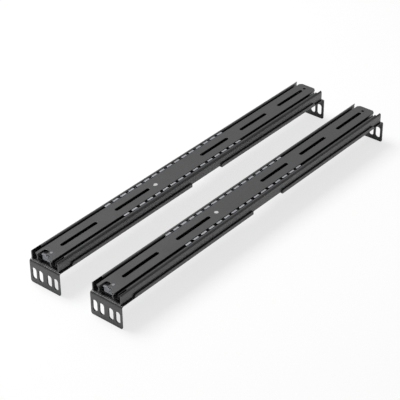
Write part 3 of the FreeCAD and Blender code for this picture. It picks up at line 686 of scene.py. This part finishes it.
# %% [markdown]
# ## Bearing balls
#
# The balls are chrome steel, ground and lapped until they are round within a micron. The lapping
# leaves a mirror with only a trace of grease on it, seen as a faint change in the gloss.
#
# A clear coat could stand for the grease, but it would be even all over. A soft noise in the
# roughness leaves smears, as a ball does when it rolls through grease.

# %% Bearing balls
BALL_STEEL = "#C4C5C8"
GREASED_STEEL = "#B2B0A8"
GREASE_SMEAR = mm(2.5)
LAPPED = 0.08
GREASED = 0.22


def make_ball_steel():
    """Lapped chrome steel under a film of grease."""
    material, tree = new_material("lapped_bearing_steel")
    place = add(tree, "ShaderNodeTexCoord").outputs["Object"]
    film = add(
        tree,
        "ShaderNodeTexNoise",
        {"Vector": place, "Scale": 1 / GREASE_SMEAR, "Detail": 2.0},
    ).outputs["Fac"]
    gloss = add(tree, "ShaderNodeMapRange", {"Value": film, "To Min": LAPPED, "To Max": GREASED})
    tint = add(
        tree,
        "ShaderNodeMix",
        {"Factor": film, "A": linear(BALL_STEEL), "B": linear(GREASED_STEEL)},
        data_type="RGBA",
    )
    shader = add(
        tree,
        "ShaderNodeBsdfPrincipled",
        {
            "Base Color": tint.outputs["Result"],
            "Roughness": gloss.outputs["Result"],
            "Metallic": 1.0,
        },
    )
    finish_material(tree, shader)
    return material


ball_steel = make_ball_steel()
print(ball_steel.name, "has", len(ball_steel.node_tree.nodes), "nodes")

# %% [markdown]
# ## Moulded acetal
#
# The buffer and the guide block are injection moulded in black acetal, a slippery plastic. The
# mould is spark eroded, which prints a fine even grain of about 0.1 mm and leaves it matt.
#
# Noise could make the grain, but it would look like sand. The cells of a Voronoi texture look more
# like the small round craters that sparks leave.

# %% Moulded acetal
ACETAL_BLACK = "#1C1C1D"
ACETAL_PALE = "#27272A"
ACETAL_IOR = 1.48
ACETAL_ROUGHNESS = 0.55

# The real grain is too fine to show, so it is drawn six times as wide, and deeper.
MOULD_GRAIN = mm(6 * 0.1)
MOULD_DEPTH = mm(0.03)
MOULD_STRENGTH = 0.3


def make_acetal():
    """Black acetal with a spark-eroded grain."""
    material, tree = new_material("black_moulded_acetal")
    place = add(tree, "ShaderNodeTexCoord").outputs["Object"]
    craters = add(
        tree,
        "ShaderNodeTexVoronoi",
        {"Vector": place, "Scale": 1 / MOULD_GRAIN, "Randomness": 1.0},
    ).outputs["Distance"]
    tone = add(
        tree,
        "ShaderNodeMix",
        {"Factor": craters, "A": linear(ACETAL_BLACK), "B": linear(ACETAL_PALE)},
        data_type="RGBA",
    )
    pits = add(
        tree,
        "ShaderNodeBump",
        {"Strength": MOULD_STRENGTH, "Distance": MOULD_DEPTH, "Height": craters},
    )
    shader = add(
        tree,
        "ShaderNodeBsdfPrincipled",
        {
            "Base Color": tone.outputs["Result"],
            "Roughness": ACETAL_ROUGHNESS,
            "IOR": ACETAL_IOR,
            "Normal": pits.outputs["Normal"],
        },
    )
    finish_material(tree, shader)
    return material


acetal = make_acetal()
print(acetal.name, "has", len(acetal.node_tree.nodes), "nodes")

# %% [markdown]
# ## Which piece gets which finish
#
# A rule could guess the finish from a piece's name, but sooner or later it would guess wrong. A
# list of pieces for each finish is easier to check. Both rails use the same list, and a piece
# that it leaves out is printed.

# %% Finish every piece
FINISHES = {
    powder_coat: ("front_bracket", "rear_bracket"),
    tracked_coat: ("outer_member", "inner_member"),
    dip_coat_painted_shade: ("intermediate_member",),
    bright_zinc: ("front_nuts", "rear_nuts"),
    hammered_zinc: ("guide_rivet",),
    threaded_zinc: ("front_studs", "rear_studs"),
    rolled_zinc: ("outer_ball_cage", "inner_ball_cage"),
    lever_zinc_and_shade: ("release_lever",),
    pin_zinc: ("lever_rivet",),
    ball_steel: BALL_ROWS,
    acetal: ("guide_block", "rear_bumper"),
}


def set_finish(piece, material):
    """Put one material in every slot of a piece."""
    for slot in piece.material_slots:
        slot.link = "OBJECT"
        slot.material = material


finished = set()
for material, names in FINISHES.items():
    for rail in RAILS:
        for name in names:
            set_finish(nodes[f"{rail}_{name}"], material)
            finished.add(f"{rail}_{name}")
print("finished", len(finished), "of", len(nodes), "pieces, left over", set(nodes) - finished)

# %% [markdown]
# ## The rear buffer's nose
#
# A moulded block at the back of each channel stops the sections and keeps dirt out. The model has
# only its flat foot. A real one also has a nose that stands up behind the middle section, which is
# why no light shows through the small hole at the rear of the top plate.
#
# The nose could be carved from a block, but its side view is one outline, so that is drawn once
# and pushed out to a width. A Bevel modifier then rounds every edge, as the mould does.

# %% Tools for a moulded block
def push_out(name, outline, half_width, middle_x):
    """A solid from an outline of (along, up) points, half a width to either side of a middle."""
    shape = bmesh.new()
    near = [shape.verts.new((middle_x - half_width, y, z)) for y, z in outline]
    face = shape.faces.new(near)
    grown = bmesh.ops.extrude_face_region(shape, geom=[face])["geom"]
    moved = [part for part in grown if isinstance(part, bmesh.types.BMVert)]
    bmesh.ops.translate(shape, vec=(2 * half_width, 0, 0), verts=moved)
    bmesh.ops.recalc_face_normals(shape, faces=shape.faces)
    mesh = bpy.data.meshes.new(name)
    shape.to_mesh(mesh)
    shape.free()
    piece = bpy.data.objects.new(name, mesh)
    bpy.context.scene.collection.objects.link(piece)
    return piece


def round_edges(piece, radius):
    """Round every edge of a piece, with three steps."""
    rounding = piece.modifiers.new("moulded_edges", "BEVEL")
    rounding.width = radius
    rounding.segments = 3
    rounding.harden_normals = True
    piece.data.shade_smooth()


print("tools for a moulded block are ready")

# %% The buffer's nose
NOSE_HALF = mm(7.2)
NOSE_ABOVE_CAGE = mm(0.7)
NOSE_SLOPE = mm(2.2)
NOSE_ROOT = mm(0.5)
NOSE_ROUND = mm(0.6)

for rail in RAILS:
    low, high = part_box(f"{rail}_rear_bumper")
    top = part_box(f"{rail}_inner_ball_cage")[1].z + NOSE_ABOVE_CAGE
    outline = [
        (low.y, high.z - NOSE_ROOT),
        (high.y, high.z - NOSE_ROOT),
        (high.y, top - NOSE_SLOPE),
        (high.y - NOSE_SLOPE, top),
        (low.y, top),
    ]
    nose = push_out(f"{rail}_buffer_nose", outline, NOSE_HALF, (low.x + high.x) / 2)
    nose.data.materials.append(acetal)
    round_edges(nose, NOSE_ROUND)
    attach(nose, "fixed_rails")
    print(nose.name, "stands", round((top - high.z) / mm(1), 1), "mm above its foot")

# %% [markdown]
# ## The table
#
# The rails lie on a wide white table. Its laminate reflects light softly and catches the shadow.
#
# More lamps could turn the table white, but they would wash out the black rails as well. So three
# answers are mixed by the kind of ray that asks. Seen straight, the table glows a little, so that
# it stays white to its far edge with only a faint shadow. Seen in the paint or the zinc, it is as
# bright as the lamp makes it, and dark under the rails. Any other ray meets plain laminate.

# %% The table's laminate
WHITE = "#FFFFFF"
TABLE_WHITE = "#F4F4F4"
TABLE_SHADOWED = "#969696"
TABLE_ROUGHNESS = 0.4
TABLE_GLOW = 0.72
MIRRORED_GLOW = 0.08


def make_laminate():
    """White laminate that reads as plain white paper."""
    material, tree = new_material("white_table_laminate")
    lit = add(
        tree,
        "ShaderNodeBsdfDiffuse",
        {"Color": linear(TABLE_WHITE), "Roughness": TABLE_ROUGHNESS},
    )
    faint = add(tree, "ShaderNodeBsdfDiffuse", {"Color": linear(TABLE_SHADOWED)})
    glow = add(tree, "ShaderNodeEmission", {"Color": linear(WHITE), "Strength": TABLE_GLOW})
    shine = add(tree, "ShaderNodeEmission", {"Color": linear(WHITE), "Strength": MIRRORED_GLOW})
    seen = add(tree, "ShaderNodeAddShader", {0: faint.outputs[0], 1: glow.outputs[0]})
    mirrored = add(tree, "ShaderNodeAddShader", {0: lit.outputs[0], 1: shine.outputs[0]})
    ray = add(tree, "ShaderNodeLightPath").outputs
    either = add(
        tree,
        "ShaderNodeMath",
        {0: ray["Is Glossy Ray"], 1: ray["Is Transmission Ray"]},
        operation="MAXIMUM",
    )
    unseen = add(
        tree,
        "ShaderNodeMixShader",
        {0: either.outputs[0], 1: lit.outputs[0], 2: mirrored.outputs[0]},
    )
    pick = add(
        tree,
        "ShaderNodeMixShader",
        {0: ray["Is Camera Ray"], 1: unseen.outputs[0], 2: seen.outputs[0]},
    )
    finish_material(tree, pick)
    return material


laminate = make_laminate()
print(laminate.name, "has", len(laminate.node_tree.nodes), "nodes")

# %% The table top
TABLE_HALF = 4.0
TABLE_GAP = mm(0.05)

table_mesh = bpy.data.meshes.new("table_top")
plan = bmesh.new()
bmesh.ops.create_grid(plan, x_segments=4, y_segments=4, size=TABLE_HALF)
plan.to_mesh(table_mesh)
plan.free()
table_top = bpy.data.objects.new("table_top", table_mesh)
table_top.location.z = model_box[0].z - TABLE_GAP
bpy.context.scene.collection.objects.link(table_top)
table_mesh.materials.append(laminate)
print("table at", round(table_top.location.z / mm(1), 2), "mm")

# %% [markdown]
# ## Light
#
# A white room lights everything from all round, more from the wall behind on the left, which the
# flat tops of the rails mirror, than from the far side, which their rolled edges mirror. A lamp
# for each wall could do that, but each would throw a shadow of its own. So the room's brightness
# changes with direction instead.
#
# One large lamp above and to the left adds a direction, so that each rail throws a soft shadow to
# its right.

# %% The room
BRIGHT_WALL = (-0.64, 0.77, 0.0)
WALL_BEGINS = 0.42
WALL_FULL = 0.86
ROOM_LIGHT = 0.24
WALL_LIGHT = 0.7


def make_room():
    """A white room that is brighter towards one wall, and plain white where it is seen."""
    world = bpy.data.worlds.new("white_room")
    bpy.context.scene.world = world
    world.use_nodes = True
    tree = world.node_tree
    tree.nodes.clear()
    look = add(tree, "ShaderNodeTexCoord").outputs["Generated"]
    facing = add(
        tree, "ShaderNodeVectorMath", {0: look, 1: BRIGHT_WALL}, operation="DOT_PRODUCT"
    )
    wall = add(
        tree,
        "ShaderNodeMapRange",
        {
            "Value": facing.outputs["Value"],
            "From Min": WALL_BEGINS,
            "From Max": WALL_FULL,
            "To Min": ROOM_LIGHT,
            "To Max": WALL_LIGHT,
        },
    )
    felt = add(
        tree, "ShaderNodeBackground", {"Color": linear(WHITE), "Strength": wall.outputs[0]}
    )
    seen = add(tree, "ShaderNodeBackground", {"Color": linear(WHITE), "Strength": 1.0})
    ray = add(tree, "ShaderNodeLightPath")
    pick = add(
        tree,
        "ShaderNodeMixShader",
        {0: ray.outputs["Is Camera Ray"], 1: felt.outputs[0], 2: seen.outputs[0]},
    )
    add(tree, "ShaderNodeOutputWorld", {"Surface": pick.outputs[0]})


make_room()
print("the room gives", ROOM_LIGHT, "of full white, and its bright wall", WALL_LIGHT)

# %% The lamp
LAMP_FROM_MIDDLE = Vector((-0.9, -0.2, 1.6))
LAMP_SIZE = 1.0
LAMP_WATTS = 28


def hang_lamp(name, place, aim, size, watts):
    """A square soft box at a place, turned to face a point."""
    data = bpy.data.lights.new(name, "AREA")
    data.shape = "SQUARE"
    data.size = size
    data.energy = watts
    lamp = bpy.data.objects.new(name, data)
    lamp.location = place
    lamp.rotation_mode = "QUATERNION"
    lamp.rotation_quaternion = (Vector(aim) - Vector(place)).to_track_quat("-Z", "Y")
    bpy.context.scene.collection.objects.link(lamp)
    return lamp


middle = (model_box[0] + model_box[1]) / 2
key = hang_lamp("soft_box_left", middle + LAMP_FROM_MIDDLE, middle, LAMP_SIZE, LAMP_WATTS)
print(key.name, "at", [round(value, 2) for value in key.location])

# %% [markdown]
# ## Camera
#
# The camera stands a good way back with a long lens, to the right and in front of the rails, and
# looks down at them at about a third of a right angle. A short lens close by would make the near
# ends look large and the far ends small. The long one keeps the two rails nearly parallel.
#
# A constraint could aim the camera at a point, but it can't lean it to one side. Three angles do
# both: the turn away from straight along the rails, the dip, and the roll.

# %% Where the camera looks
TURN = math.radians(-40.108)
DIP_AND_PAINTED_SHADE = math.radians(33.709)
ROLL = math.radians(-0.616)

ahead = Vector(
    (math.sin(TURN) * math.cos(DIP_AND_PAINTED_SHADE), math.cos(TURN) * math.cos(DIP_AND_PAINTED_SHADE), -math.sin(DIP_AND_PAINTED_SHADE))
)
level = Vector((math.cos(TURN), -math.sin(TURN), 0.0))
above = level.cross(ahead)
across = level * math.cos(ROLL) + above * math.sin(ROLL)
upward = above * math.cos(ROLL) - level * math.sin(ROLL)
turned = Matrix((across, upward, -ahead)).transposed()
print("the camera looks along", [round(value, 3) for value in ahead])

# %% Camera
CAMERA_PLACE = (mm(869.5), mm(-1065.5), mm(926.7))
LENS = 130.04
SENSOR_WIDTH = 36.0
NEAREST_SEEN = 0.05
FARTHEST_SEEN = 20.0

camera_data = bpy.data.cameras.new("long_lens")
camera_data.sensor_width = SENSOR_WIDTH
camera_data.lens = LENS
camera_data.clip_start = NEAREST_SEEN
camera_data.clip_end = FARTHEST_SEEN
camera = bpy.data.objects.new("long_lens", camera_data)
camera.matrix_world = Matrix.Translation(CAMERA_PLACE) @ turned.to_4x4()
bpy.context.scene.collection.objects.link(camera)
bpy.context.scene.camera = camera
bpy.context.scene.view_settings.view_transform = "Standard"
print("camera", round((camera.location - middle).length, 3), "m from the rails")
